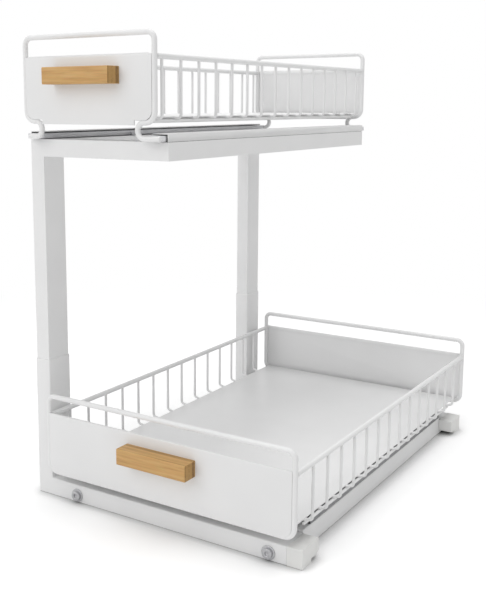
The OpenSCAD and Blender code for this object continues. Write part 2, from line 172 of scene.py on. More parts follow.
def noise(tree, place, scale, detail, roughness=0.5):
    """Noise texture; a scale for each axis draws it out into streaks."""
    if isinstance(scale, tuple):
        drawn_out = add_node(tree, "ShaderNodeMapping", {"Scale": scale}, {"Vector": place})
        place, scale = drawn_out.outputs["Vector"], 1.0
    return add_node(tree, "ShaderNodeTexNoise", {
        "Scale": scale, "Detail": detail, "Roughness": roughness}, {"Vector": place})


def bumps(tree, height, strength, distance):
    """The normal of a surface with small bumps, their height in metres."""
    node = add_node(tree, "ShaderNodeBump", {"Strength": strength, "Distance": distance},
                    {"Height": height})
    return node.outputs["Normal"]


def between(tree, factor, low, high):
    """A factor of 0 to 1 brought between two values."""
    node = add_node(tree, "ShaderNodeMapRange", {"To Min": low, "To Max": high},
                    {"Value": factor})
    return node.outputs["Result"]


def powder_coated_steel():
    """White polyester powder coat: soft satin sheen over a very fine orange peel."""
    made, tree, place = new_material("white_powder_coated_steel")
    # Broad cloudiness of the coat, about 60 mm across
    cloud = noise(tree, place, 16.0, 2.0).outputs["Fac"]
    # Orange peel: real bumps are about 1.5 mm apart
    peel = noise(tree, place, 650.0, 1.0).outputs["Fac"]
    return principled(made, {"IOR": 1.5}, {
        "Base Color": ramp(tree, cloud, (0.35, "steel_shade"), (0.65, "steel_white")),
        "Roughness": between(tree, cloud, 0.36, 0.44),
        "Normal": bumps(tree, peel, 0.12, 0.0001)})


def moulded_polypropylene():
    """Off-white moulded polypropylene: matt, faintly warm, with a fine spark-eroded grain."""
    made, tree, place = new_material("off_white_polypropylene")
    # Mould grain, drawn at 0.8 mm so that it shows
    grain = noise(tree, place, 1200.0, 2.0).outputs["Fac"]
    flow = noise(tree, place, 60.0, 2.0).outputs["Fac"]
    return principled(made, {"IOR": 1.49, "Roughness": 0.52}, {
        "Base Color": ramp(tree, flow, (0.3, "cap_shade"), (0.7, "cap_white")),
        "Normal": bumps(tree, grain, 0.15, 0.0001)})


def black_acetal_and_painted_shade():
    """Black moulded acetal of the track liners: smooth, dark, with a dull sheen; their black
    also stands in for the deep shade under the track flanges, painted shade.
    """
    made, tree, place = new_material("black_acetal_and_painted_shade")
    # Wear streaks along the slide's travel, about 1 mm wide
    streaks = noise(tree, place, (900.0, 30.0, 900.0), 2.0).outputs["Fac"]
    return principled(made, {"IOR": 1.48, "Roughness": 0.45}, {
        "Base Color": ramp(tree, streaks, (0.3, "liner_black"), (0.8, "liner_grey"))})


def zinc_plate(name, shade, bright, metallic):
    """Zinc plate on steel, with fine drawing lines along the part."""
    made, tree, place = new_material(name)
    lines = noise(tree, place, (1400.0, 20.0, 1400.0), 3.0).outputs["Fac"]
    return principled(made, {"Metallic": metallic}, {
        "Base Color": ramp(tree, lines, (0.3, shade), (0.7, bright)),
        "Roughness": between(tree, lines, 0.3, 0.42)})


def zinc_plated_steel():
    """Bright zinc plate of the screws, washers and pins: silver-grey."""
    return zinc_plate("zinc_plated_steel", "zinc_shade", "zinc_bright", 1.0)


def pale_zinc():
    """Pale clear zinc plate of the runners: lighter and duller than the screws'."""
    return zinc_plate("pale_zinc_plate", "runner_shade", "runner_bright", 0.2)


def painted_shade_track_steel():
    """Lower tracks: matt metal in a darker grey, which is painted shade of the gap under the
    lower basket, with soft cloudy spangle.
    """
    made, tree, place = new_material("painted_shade_track_steel")
    # Spangle about 4 mm across
    spangle = add_node(tree, "ShaderNodeTexVoronoi", {"Scale": 250.0}, {"Vector": place})
    return principled(made, {"Metallic": 1.0, "Roughness": 0.55}, {
        "Base Color": ramp(tree, spangle.outputs["Distance"],
                           (0.0, "track_painted_shade_pale"), (1.0, "track_painted_shade_deep"))})


def oiled_beech(name, tones, contrast):
    """Laminated beech: strips across the depth, which differ by a contrast, and fine grain."""
    made, tree, place = new_material(name)
    depth = add_node(tree, "ShaderNodeSeparateXYZ", links={"Vector": place}).outputs["Y"]
    # Strips glued together front to back, each about 3.2 mm thick
    strip = add_node(tree, "ShaderNodeMath", {"operation": "DIVIDE", 1: 0.0032}, {0: depth})
    index = add_node(tree, "ShaderNodeMath", {"operation": "FLOOR"}, {0: strip.outputs[0]})
    chance = add_node(tree, "ShaderNodeTexWhiteNoise", {"noise_dimensions": "1D"},
                      {"W": index.outputs[0]})
    # Grain: streaks about 2 mm high and 45 mm long, and finer ones in them
    grain = noise(tree, place, (22.0, 420.0, 420.0), 4.0, 0.6)
    pores = noise(tree, place, (90.0, 1800.0, 1800.0), 2.0)
    mixed = add_node(tree, "ShaderNodeMath", {"operation": "MULTIPLY_ADD", 1: contrast},
                     {0: chance.outputs["Value"], 2: grain.outputs["Fac"]})
    positions = 0.35, 0.45 + contrast / 2, 0.55 + contrast
    wood = ramp(tree, mixed.outputs[0], *zip(positions, tones))
    pored = add_node(tree, "ShaderNodeMix", {
        "data_type": "RGBA", "blend_type": "MULTIPLY", 0: 0.25},
        {6: wood, 7: pores.outputs["Color"]})
    return principled(made, {"IOR": 1.5, "Roughness": 0.48}, {
        "Base Color": pored.outputs[2],
        "Normal": bumps(tree, pores.outputs["Fac"], 0.25, 0.0002)})


def laminated_beech():
    """Front and back of a handle: warm blond strips."""
    return oiled_beech("oiled_laminated_beech", ("wood_dark", "wood_mid", "wood_light"), 0.35)


def beech_edge():
    """Glued edges of the strips, on a handle's top and underside: a shade darker."""
    return oiled_beech("oiled_beech_edge", ("edge_dark", "edge_mid", "wood_mid"), 0.5)


def beech_end_grain():
    """End grain, which takes more oil: dark, the strips plainly seen."""
    return oiled_beech("oiled_beech_end_grain", ("end_dark", "end_mid", "edge_mid"), 0.8)


FINISHES = {
    "white_steel": powder_coated_steel,
    "cap_plastic": moulded_polypropylene,
    "liner_plastic": black_acetal_and_painted_shade,
    "zinc_steel": zinc_plated_steel,
    "wood": laminated_beech,
    # The lower tracks' grey finish is painted shade
    "painted_shade_track": painted_shade_track_steel,
    "pale_zinc": pale_zinc,
    "wood_edge": beech_edge,
    "wood_end": beech_end_grain,
}
made_finishes = {}


def finish_of(name):
    """The material of one finish, made once."""
    if name not in made_finishes:
        made_finishes[name] = FINISHES[name]()
    return made_finishes[name]


def dress(piece, name):
    """Give a piece one finish."""
    piece.data.materials.clear()
    piece.data.materials.append(finish_of(name))


# ---------- modelling ----------


def only(*pieces):
    """Leave just these objects selected, the first one active."""
    if bpy.context.object and bpy.context.object.mode != "OBJECT":
        bpy.ops.object.mode_set(mode="OBJECT")
    bpy.ops.object.select_all(action="DESELECT")
    for piece in pieces:
        piece.select_set(True)
    bpy.context.view_layer.objects.active = pieces[0] if pieces else None


def edit(piece, select="DESELECT"):
    """Open one piece in edit mode with all or nothing selected."""
    only(piece)
    bpy.ops.object.mode_set(mode="EDIT")
    bpy.ops.mesh.select_mode(type="VERT")
    bpy.ops.mesh.select_all(action=select)


def done():
    """Leave edit mode."""
    bpy.ops.object.mode_set(mode="OBJECT")


def pick(piece, kind, test):
    """In edit mode, select just the vertices, edges or faces that a test accepts."""
    bpy.ops.mesh.select_all(action="DESELECT")
    bpy.ops.mesh.select_mode(type=kind)
    mesh = bmesh.from_edit_mesh(piece.data)
    for item in {"VERT": mesh.verts, "EDGE": mesh.edges, "FACE": mesh.faces}[kind]:
        if test(item):
            item.select_set(True)
    mesh.select_flush_mode()
    bmesh.update_edit_mesh(piece.data)


def bevel(radius, segments):
    """In edit mode, round the selected edges."""
    bpy.ops.mesh.bevel(offset=radius, segments=segments, affect="EDGES")


def sink(rim, move):
    """In edit mode, leave a rim inside the selected face and push the rest in."""
    bpy.ops.mesh.inset(thickness=rim, depth=0)
    bpy.ops.mesh.extrude_region_move(TRANSFORM_OT_translate={"value": move})


def axis_of(edge):
    """The direction of an edge."""
    return (edge.verts[1].co - edge.verts[0].co).normalized()


def added(name):
    """Name the object just added and put its place into its mesh."""
    piece = bpy.context.active_object
    piece.name = piece.data.name = name
    bpy.ops.object.transform_apply(location=True, rotation=True, scale=True)
    return piece


def block(name, low, high):
    """A cuboid between two corners, to be shaped further."""
    only()
    bpy.ops.mesh.primitive_cube_add(size=1, location=(low + high) / 2, scale=high - low)
    return added(name)


def slab(xs, ys, zs):
    """A block between two limits on each axis, given in any order."""
    limits = xs, ys, zs
    return block("slab", Vector([min(pair) for pair in limits]),
                 Vector([max(pair) for pair in limits]))


def grown(node, low_by=(0, 0, 0), high_by=(0, 0, 0)):
    """A block over a node's box, with its two corners moved."""
    low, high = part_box(node)
    return block("part_of_" + node, low + Vector(low_by), high + Vector(high_by))


def smooth(piece):
    """Shade a piece smooth, with its creases kept."""
    only(piece)
    bpy.ops.object.shade_smooth_by_angle(angle=CREASE)


def rounded(piece, width, segments=2):
    """Round every sharp edge, and shade the piece smooth."""
    only(piece)
    rounding = piece.modifiers.new("rounding", "BEVEL")
    rounding.width, rounding.segments = width, segments
    rounding.limit_method, rounding.angle_limit = "ANGLE", SHARP
    bpy.ops.object.modifier_apply(modifier=rounding.name)
    smooth(piece)
    return piece


def joined(name, pieces):
    """Join pieces into the first one."""
    only(*pieces)
    bpy.ops.object.join()
    pieces[0].name = pieces[0].data.name = name
    return pieces[0]


def row(piece, count, pitch):
    """A piece and its copies, one behind the other."""
    copies = [piece]
    for i in range(1, count):
        only(piece)
        bpy.ops.object.duplicate(linked=False)
        bpy.ops.transform.translate(value=(0, i * pitch, 0))
        copies.append(bpy.context.active_object)
        bpy.ops.object.transform_apply(location=True, rotation=True, scale=True)
    return copies


def cleaned():
    """In edit mode, merge doubled points and flat faces of the whole piece."""
    bpy.ops.mesh.remove_doubles(threshold=MERGE)
    bpy.ops.mesh.dissolve_limited(angle_limit=FLAT)


def outward():
    """In edit mode, turn every face outward."""
    bpy.ops.mesh.select_all(action="SELECT")
    bpy.ops.mesh.normals_make_consistent(inside=False)


def welded(name, blocks):
    """Blocks that overlap, made one closed shape without seams."""
    piece = blocks[0]
    for other in blocks[1:]:
        only(piece)
        union = piece.modifiers.new("weld", "BOOLEAN")
        union.operation, union.solver, union.object = "UNION", "EXACT", other
        bpy.ops.object.modifier_apply(modifier=union.name)
        only(other)
        bpy.ops.object.delete()
    edit(piece, "SELECT")
    cleaned()
    outward()
    done()
    piece.name = piece.data.name = name
    return piece


def wire(name, path, diameter, closed=False):
    """Round wire through points (x, y, z, bend radius): a circle extruded and spun along."""
    points = [Vector(p[:3]) for p in path]
    heading = (points[1] - points[0]).normalized()
    only()
    bpy.ops.mesh.primitive_circle_add(
        vertices=look().wire_sides, radius=diameter / 2, location=points[0],
        rotation=heading.to_track_quat("Z", "Y").to_euler())
    piece = added(name)
    edit(piece, "SELECT")
    here = points[0]
    for i in range(1, len(points)):
        heading = (points[i] - points[i - 1]).normalized()
        turn, trim, radius = 0, 0, path[i][3]
        if i < len(points) - 1:
            after = (points[i + 1] - points[i]).normalized()
            turn = heading.angle(after)
            trim = radius * tan(turn / 2)
        bend_start = points[i] - heading * trim
        bpy.ops.mesh.extrude_region_move(
            TRANSFORM_OT_translate={"value": bend_start - here})
        here = bend_start
        if turn:
            # The spin turns opposite to the right-hand rule
            pivot = heading.cross(after).normalized()
            bpy.ops.mesh.spin(steps=look().bend_steps, angle=turn, axis=-pivot,
                              center=here + pivot.cross(heading) * radius)
            here = points[i] + after * trim
    bpy.ops.mesh.select_all(action="SELECT")
    if closed:
        bpy.ops.mesh.remove_doubles(threshold=WIRE_MERGE)
    else:
        bpy.ops.mesh.fill_holes(sides=0)
    outward()
    if not closed:
        pick(piece, "FACE", lambda face: len(face.verts) > 4)
        bevel(diameter * WIRE_END, 2)
    done()
    smooth(piece)
    return piece


def softened(name, node, width, segments=2):
    """A merged copy of a CAD node whose sharp edges are rounded."""
    only(NODES[node])
    bpy.ops.object.duplicate(linked=False)
    piece = bpy.context.active_object
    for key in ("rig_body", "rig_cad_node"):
        if key in piece:
            del piece[key]
    piece.parent = None
    piece.name = piece.data.name = name
    edit(piece, "SELECT")
    cleaned()
    done()
    return rounded(piece, width, segments)


def settle(piece, *nodes):
    """Finish, ride and stand-in of a piece, taken from the nodes it replaces; the finish is
    named by the first node's slot.
    """
    dress(piece, SLOT_OF[nodes[0]])
    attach(piece, BODY_OF[nodes[0]])
    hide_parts(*nodes)


# ---------- operators ----------


class StandTubes(bpy.types.Operator):
    """Sleeves, base tubes, rails, posts and shelf tubes with round corners"""
    bl_idname = "pullout.stand_tubes"
    bl_label = "Stand Tubes"

    def execute(self, context):
        deep = look().weld_depth
        for end in ("front", "rear"):
            upright, flat = end + "_sleeve", end + "_base_tube"
            piece = welded("welded_" + flat, [grown(upright), grown(flat, (-deep, 0, 0))])
            self.open_top(piece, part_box(upright)[1].z)
            settle(piece, flat, upright)
        for node in ("left_base_rail", "right_base_rail"):
            settle(self.rail(node), node)
        posts = [grown(name, high_by=(0, 0, deep)) for name in ("front_post", "rear_post")]
        sides = [grown(name, (0, -deep, 0), (0, deep, 0))
                 for name in ("shelf_left_tube", "shelf_right_tube")]
        crosses = [grown(name) for name in ("shelf_front_tube", "shelf_rear_tube")]
        piece = welded("welded_shelf_frame", crosses + sides + posts)
        settle(rounded(piece, look().tube_corner, 3), "shelf_front_tube", "shelf_rear_tube",
               "shelf_left_tube", "shelf_right_tube", "front_post", "rear_post")
        return {"FINISHED"}

    def open_top(self, piece, top):
        """Round a sleeve's edges and open its top end."""
        rounded(piece, look().tube_corner, 3)
        edit(piece)
        pick(piece, "FACE", lambda face: face.normal.z > PARALLEL
             and face.calc_center_median().z > top - RIM_BAND)
        sink(look().tube_rim, -look().tube_depth * Z)
        done()
        smooth(piece)

    def rail(self, node):
        """Base rail with its four long corners rounded."""
        piece = block("steel_" + node, *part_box(node))
        edit(piece)
        pick(piece, "EDGE", lambda edge: abs(axis_of(edge).y) > PARALLEL)
        bevel(look().tube_corner, 5)
        done()
        smooth(piece)
        return piece


class EndCaps(bpy.types.Operator):
    """Moulded end caps of the base tubes"""
    bl_idname = "pullout.end_caps"
    bl_label = "End Caps"

    def execute(self, context):
        for node in ("front_end_cap", "rear_end_cap"):
            settle(softened("moulded_" + node, node, look().cap_rounding, 3), node)
        return {"FINISHED"}


class Fasteners(bpy.types.Operator):
    """Screws and washers of the stand, screws of the handles, and stop pins"""
    bl_idname = "pullout.fasteners"
    bl_label = "Fasteners"

    def execute(self, context):
        for node in ("frame_screws", "frame_washers", "lower_handle_screws",
                     "upper_handle_screws", "lower_stop_pins", "upper_stop_pins"):
            settle(softened("turned_" + node, node, look().metal_rounding), node)
        return {"FINISHED"}


class Tracks(bpy.types.Operator):
    """Tracks, their liners, and the runners inside"""
    bl_idname = "pullout.tracks"
    bl_label = "Tracks and Runners"

    def execute(self, context):
        for level in ("lower", "upper"):
            for side in ("left", "right"):
                track, runner = level + "_" + side + "_track", level + "_" + side + "_runner"
                piece = self.track(track)
                settle(piece, track)
                if level == "lower":
                    # The upper tracks are coated like the shelf; these get a darker grey that
                    # is painted shade, for the shadow under the lower basket
                    dress(piece, "painted_shade_track")
                strip = self.runner(runner)
                settle(strip, runner)
                dress(strip, "pale_zinc")
            settle(self.liners(level), level + "_track_liners")
        return {"FINISHED"}

    def track(self, node):
        """Folded track, raised at its foot so that a dark seam shows along the rail: the black
        liner seen in the gap is painted shade of the groove there.
        """
        piece = softened("folded_" + node, node, look().track_rounding)
        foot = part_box(node)[0].z + FOOT_BAND
        edit(piece)
        pick(piece, "VERT", lambda point: point.co.z < foot)
        bpy.ops.transform.translate(value=look().track_seam * Z)
        done()
        return piece

    def liners(self, level):
        """Black liners inside both tracks, their black partly painted shade under the flanges;
        the lower ones also lap the flange's front end with a black lip that is painted shade
        in the track's open front end.
        """
        thick, start = look().liner_sheet, look().track_sheet + look().liner_gap
        strips = []
        for side, sign in (("left", 1), ("right", -1)):
            low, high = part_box(level + "_" + side + "_track")
            edge, under = low.x if sign > 0 else high.x, high.z - look().track_sheet
            # Each strip: how far from the track's outside, along it, and how high
            parts = [((start, start + thick), (low.y, high.y), (low.z, under)),
                     ((start, look().liner_reach), (low.y, high.y), (under - thick, under))]
            if level == "lower":
                parts.append(((look().lip_start, look().lip_end),
                              (low.y - look().lip_start, low.y + OVERLAP),
                              (under - thick, high.z + look().lip_sheet)))
            strips += [slab([edge + sign * u for u in us], ys, zs) for us, ys, zs in parts]
        piece = joined("moulded_" + level + "_track_liners", strips)
        return rounded(piece, look().liner_rounding)

    def runner(self, node):
        """Folded strip, open below, that hangs just clear of the rail."""
        out, sheet = look().runner_out, look().runner_sheet
        piece = grown(node, (-out if "right" in node else 0, 0, look().runner_lift),
                      (out if "left" in node else 0, 0, look().runner_rise))
        edit(piece)
        pick(piece, "FACE", lambda face: face.normal.z < -PARALLEL)
        sink(sheet, (0, 0, piece.dimensions.z - sheet))
        done()
        return rounded(piece, look().track_rounding)


class BasketFrames(bpy.types.Operator):
    """Bent frame wires of both baskets, the upper ones with turned feet"""
    bl_idname = "pullout.basket_frames"
    bl_label = "Frame Wires"

    def execute(self, context):
        for node in ("lower_front_frame", "lower_rear_frame"):
            settle(self.closed_frame(node), node)
        for node, left_tip, right_tip in (
            ("upper_front_frame", look().tip_front, look().tip_back),
            ("upper_rear_frame", look().tip_back, look().tip_front),
        ):
            settle(self.footed_frame(node, left_tip, right_tip), node)
        return {"FINISHED"}

    def closed_frame(self, node):
        """Frame wire of the lower basket, welded end to end under its middle."""
        bend, guard, r = look().bottom_bend, look().guard_bend, look().wire_diameter / 2
        low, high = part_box(node)
        x0, x1, y, z0, z1 = low.x + r, high.x - r, low.y + r, low.z + r, high.z - r
        middle = (x0 + x1) / 2
        return wire("bent_" + node, [
            (middle, y, z0, 0), (x1, y, z0, bend), (x1, y, z1, guard),
            (x0, y, z1, guard), (x0, y, z0, bend), (middle, y, z0, 0),
        ], 2 * r, closed=True)

    def footed_frame(self, node, left_tip, right_tip):
        """Frame wire of the upper basket, its ends turned out into the tracks."""
        bend, guard, r = look().bottom_bend, look().guard_bend, look().wire_diameter / 2
        foot, inset = look().foot_bend, look().foot_in
        left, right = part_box("upper_left_grille")[0].x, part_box("upper_right_grille")[1].x
        left_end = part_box("upper_left_track")[0].x + left_tip
        right_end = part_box("upper_right_track")[1].x - right_tip
        low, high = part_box(node)
        x0, x1, y, leg = left + r, right - r, low.y + r, low.z + r
        z0, z1 = high.z - look().basket_height + r, high.z - r
        return wire("bent_" + node, [
            (left_end, y, leg, 0), (left + inset, y, leg, foot), (left + inset, y, z0, foot),
            (x0, y, z0, bend), (x0, y, z1, guard), (x1, y, z1, guard), (x1, y, z0, bend),
            (right - inset, y, z0, foot), (right - inset, y, leg, foot),
            (right_end, y, leg, 0),
        ], 2 * r)


class Grilles(bpy.types.Operator):
    """Side grilles: rails along the basket and thin wires turned in under the tray"""
    bl_idname = "pullout.grilles"
    bl_label = "Side Grilles"

    def execute(self, context):
        lower = look().low_wires, look().low_first, look().low_last, look().strand_knee
        for node, count, first, last, knee in (
            ("lower_left_grille", *lower),
            ("lower_right_grille", *lower),
            ("upper_left_grille", look().up_wires, look().up_last, look().up_first, 0),
            ("upper_right_grille", look().up_wires, look().up_first, look().up_last, 0),
        ):
            settle(self.grille(node, count, first, last, knee), node)
        return {"FINISHED"}

    def grille(self, node, count, first, last, knee):
        """One side: two rails, and thin wires that slope in over a knee's height."""
        thin, rail, lower_rail = look().thin_wire, look().rail_wire, look().lower_rail_wire
        low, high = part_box(node)
        side, sign = (low.x, 1) if "left" in node else (high.x, -1)
        front, rear = low.y - look().wire_diameter, high.y + look().wire_diameter
        lower_z = low.z + lower_rail / 2 + look().lower_rail_lift
        turn_z = lower_z + (lower_rail + thin) / 2 - look().weld_bite
        top_x, top_z = side + sign * rail / 2, high.z - rail / 2
        outer, inner = side + sign * thin / 2, side + sign * look().lower_rail_in
        y, bend = front + first, look().strand_bend
        strand = wire("strand", [
            (outer, y, top_z, 0), (outer, y, turn_z + knee, bend), (inner, y, turn_z, bend),
            (side + sign * look().turn_in, y, turn_z, 0)], thin)
        strands = row(strand, count, (rear - front - first - last) / (count - 1))
        top = wire("top", [(top_x, low.y, top_z, 0), (top_x, high.y, top_z, 0)], rail)
        bottom = wire("bottom", [(inner, y - thin, lower_z, 0),
                                 (inner, rear - last + thin, lower_z, 0)], lower_rail)
        return joined("welded_" + node, [top, bottom, *strands])


class FloorWires(bpy.types.Operator):
    """Thin cross wires under the trays, and the wire feet under the lower basket"""
    bl_idname = "pullout.floor_wires"
    bl_label = "Floor Wires and Feet"

    def execute(self, context):
        thin = look().thin_wire
        for node, count in (("lower_floor_wires", look().low_wires),
                            ("upper_floor_wires", look().up_wires)):
            low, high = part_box(node)
            z, y = (low.z + high.z) / 2, low.y + thin / 2
            first = wire("cross", [(low.x, y, z, 0), (high.x, y, z, 0)], thin)
            wires = row(first, count, (high.y - low.y - thin) / (count - 1))
            settle(joined("straight_" + node, wires), node)
        settle(self.feet(), "lower_feet")
        return {"FINISHED"}

    def feet(self):
        """Four wires, from the lower basket's floor down and out to its runners."""
        low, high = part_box("lower_feet")
        r, bend, leg = look().wire_diameter / 2, look().low_foot_bend, look().low_foot_reach
        feet = []
        for y in (low.y + r, high.y - r):
            for tip, reach in ((low.x, leg), (high.x, -leg)):
                feet.append(wire("foot", [
                    (tip, y, low.z + r, 0), (tip + reach, y, low.z + r, bend),
                    (tip + reach, y, high.z, 0)], 2 * r))
        return joined("bent_lower_feet", feet)


class Sheets(bpy.types.Operator):
    """Front and rear panels with their hems, and the trays"""
    bl_idname = "pullout.sheets"
    bl_label = "Panels and Trays"

    def execute(self, context):
        for node in ("lower_front_panel", "lower_rear_panel", "upper_front_panel",
                     "upper_rear_panel"):
            settle(self.panel(node), node)
        for node, wider in (("lower_tray", look().tray_wider),
                            ("upper_tray", look().upper_tray_wider)):
            piece = rounded(grown(node, (-wider, 0, 0), (wider, 0, 0)), look().sheet_rounding)
            piece.name = piece.data.name = "flat_" + node
            settle(piece, node)
        return {"FINISHED"}

    def panel(self, node):
        """Sheet wrapped onto the frame wire, with a folded hem along its top edge."""
        low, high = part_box(node)
        wrap, is_upper = look().wire_diameter / 2, node.startswith("upper")
        if not is_upper:
            high.z += look().panel_raise
        # The sheet's two faces, and the hem from inside the sheet to the panel's back
        sheet = low.y - look().panel_forward, low.y + look().panel_sheet
        hem = sheet[1] - OVERLAP, high.y
        if "rear" in node:
            sheet = high.y + look().panel_forward, high.y - look().panel_sheet
            hem = sheet[1] + OVERLAP, low.y
        bottom = low.z + wrap * look().upper_wrap if is_upper else low.z - wrap
        beside = wrap * look().side_wrap
        plate = slab((low.x - beside, high.x + beside), sheet, (bottom, high.z))
        edit(plate)
        pick(plate, "EDGE", lambda edge: abs(axis_of(edge).y) > PARALLEL
             and edge.verts[0].co.z < bottom + MERGE)
        bevel(look().bottom_bend, 8)
        done()
        blocks = [plate]
        if is_upper:
            # Between the wire feet the sheet reaches lower
            inset = look().foot_in + 2 * look().drop_gap - 2 * wrap
            blocks.append(slab((low.x + inset, high.x - inset), sheet,
                               (low.z, high.z - DROP_TOP)))
        blocks.append(slab((low.x + look().hem_in, high.x - look().hem_in), hem,
                           (high.z - look().hem_height, high.z)))
        piece = welded("folded_" + node, blocks)
        edit(piece)
        pick(piece, "EDGE", lambda edge: abs(axis_of(edge).x) > PARALLEL and edge.is_manifold
             and min(point.co.z for point in edge.verts) > high.z - MERGE)
        bevel(look().hem_rounding, 4)
        done()
        return rounded(piece, look().sheet_rounding)


class Handles(bpy.types.Operator):
    """Wooden handles with eased edges"""
    bl_idname = "pullout.handles"
    bl_label = "Wooden Handles"

    def execute(self, context):
        for node in ("lower_handle", "upper_handle"):
            piece = block("wooden_" + node, *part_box(node))
            edit(piece)
            pick(piece, "EDGE", lambda edge: abs(axis_of(edge).x) > PARALLEL)
            bevel(look().handle_rounding, 4)
            pick(piece, "FACE", lambda face: abs(face.normal.x) > PARALLEL)
            bevel(look().handle_end_rounding, 3)
            done()
            smooth(piece)
            settle(piece, node)
            self.grain(piece)
        return {"FINISHED"}

    def grain(self, piece):
        """Give the top and underside edge grain, and the ends end grain."""
        for name, axis in (("wood_edge", Z), ("wood_end", X)):
            piece.data.materials.append(finish_of(name))
            for face in piece.data.polygons:
                if abs(face.normal.dot(axis)) > PARALLEL:
                    face.material_index = len(piece.data.materials) - 1


class Stage(bpy.types.Operator):
    """Pale floor, soft studio lights and the camera"""
    bl_idname = "pullout.stage"
    bl_label = "Floor, Lights and Camera"

    def execute(self, context):
        scene = context.scene
        scene.view_settings.view_transform = "Standard"
        self.floor()
        self.world(scene)
        centre = (cad_low + cad_high) / 2
        # Each light: its name, place, width and power
        for name, place, width, power in (
            ("key", Vector((-1.1, -2.6, 2.0)), 2.2, look().key_power),
            ("top", Vector((0.0, 0.2, 3.0)), 2.6, look().top_power),
            ("right", Vector((2.6, -0.6, 1.4)), 2.0, look().right_power),
            ("front", Vector((0.7, -3.0, 1.0)), 2.4, look().front_power),
        ):
            only()
            bpy.ops.object.light_add(type="AREA", location=place)
            lamp = bpy.context.active_object
            lamp.name = name + "_light"
            lamp.data.size = width
            lamp.data.energy = power
            lamp.rotation_euler = (centre - place).to_track_quat("-Z", "Y").to_euler()
        self.camera(scene)
        return {"FINISHED"}

    def floor(self):
        """White floor with a contact shadow, which fades into the white backdrop."""
        only()
        bpy.ops.mesh.primitive_plane_add(size=FLOOR_SIZE, location=(0, 0, look().floor_height))
        floor = added("studio_floor")
        made, tree, place = new_material("white_studio_floor")
        seen = add_node(tree, "ShaderNodeLightPath").outputs["Is Camera Ray"]
        # Seen directly the floor is paper white, for the object's light it is darker
        tone = add_node(tree, "ShaderNodeMix", {
            "data_type": "RGBA", 6: (*[look().floor_bounce] * 3, 1),
            7: (*[look().floor_white] * 3, 1)}, {0: seen})
        # Contact shadow: darker close to what stands on the floor
        near = add_node(tree, "ShaderNodeAmbientOcclusion", {
            "Distance": look().contact_reach, "samples": CONTACT_SAMPLES})
        deep = add_node(tree, "ShaderNodeMath", {
            "operation": "POWER", 1: look().contact_power}, {0: near.outputs["AO"]})
        shaded = add_node(tree, "ShaderNodeMix", {
            "data_type": "RGBA", "blend_type": "MULTIPLY"},
            {0: seen, 6: tone.outputs[2], 7: deep.outputs[0]})
        shader = add_node(tree, "ShaderNodeBsdfDiffuse", links={"Color": shaded.outputs[2]})
        # Past the object's shadow the seen floor fades into the white backdrop
        reach = add_node(tree, "ShaderNodeVectorMath", {"operation": "LENGTH"}, {0: place})
        fade = add_node(tree, "ShaderNodeMapRange", {
            "interpolation_type": "SMOOTHSTEP", "From Min": look().floor_near,
            "From Max": look().floor_far}, {"Value": reach.outputs["Value"]})
        faded = add_node(tree, "ShaderNodeMath", {"operation": "MULTIPLY"},
                         {0: seen, 1: fade.outputs["Result"]})
        white = add_node(tree, "ShaderNodeEmission", {"Color": WHITE, "Strength": 1.0})
        mixed = add_node(tree, "ShaderNodeMixShader", links={
            0: faded.outputs[0], 1: shader.outputs["BSDF"], 2: white.outputs["Emission"]})
        floor.data.materials.append(surfaced(made, mixed.outputs["Shader"]))

    def world(self, scene):
        """White surroundings, dimmer where they only light the object."""
        scene.world = bpy.data.worlds.new("studio")
        scene.world.use_nodes = True
        tree = scene.world.node_tree
        tree.nodes.clear()
        path = add_node(tree, "ShaderNodeLightPath")
        seen = add_node(tree, "ShaderNodeMath", {"operation": "MAXIMUM"}, {
            0: path.outputs["Is Camera Ray"], 1: path.outputs["Is Glossy Ray"]})
        back = add_node(tree, "ShaderNodeBackground", {"Color": WHITE}, {
            "Strength": between(tree, seen.outputs[0], look().world_strength, 1.0)})
        add_node(tree, "ShaderNodeOutputWorld", links={"Surface": back.outputs["Background"]})

    def camera(self, scene):
        """The camera, aimed by its yaw and pitch."""
        yaw, pitch = look().camera_yaw, look().camera_pitch
        only()
        bpy.ops.object.camera_add(location=look().camera_place)
        scene.camera = bpy.context.active_object
        ahead = Vector((-sin(yaw) * cos(pitch), cos(yaw) * cos(pitch), -sin(pitch)))
        scene.camera.rotation_euler = ahead.to_track_quat("-Z", "Y").to_euler()
        scene.camera.data.lens = look().camera_lens
        scene.camera.data.shift_x, scene.camera.data.shift_y = look().camera_shift


OPERATORS = (StandTubes, EndCaps, Fasteners, Tracks, BasketFrames, Grilles, FloorWires, Sheets,
             Handles, Stage)


def value(name, about, default, **more):
    """A number for the sidebar."""
    return bpy.props.FloatProperty(name=name, description=about, default=default, **more)


def length(name, about, default):
    """A length for the sidebar, in metres."""
    return value(name, about, default, min=0, precision=5, unit="LENGTH")


def power(name, about, default):
    """A light's power for the sidebar, in watts."""
    return value(name, about, default, unit="POWER")


def angle(name, about, degrees):
    """An angle for the sidebar."""
    return value(name, about, radians(degrees), subtype="ANGLE")


def count(name, about, default, least):
    """A whole number for the sidebar."""
    return bpy.props.IntProperty(name=name, description=about, default=default, min=least)


def colour(name, about, default):
    """A colour for the sidebar, held as an sRGB hex value."""
    return bpy.props.StringProperty(name=name, description=about, default=default)


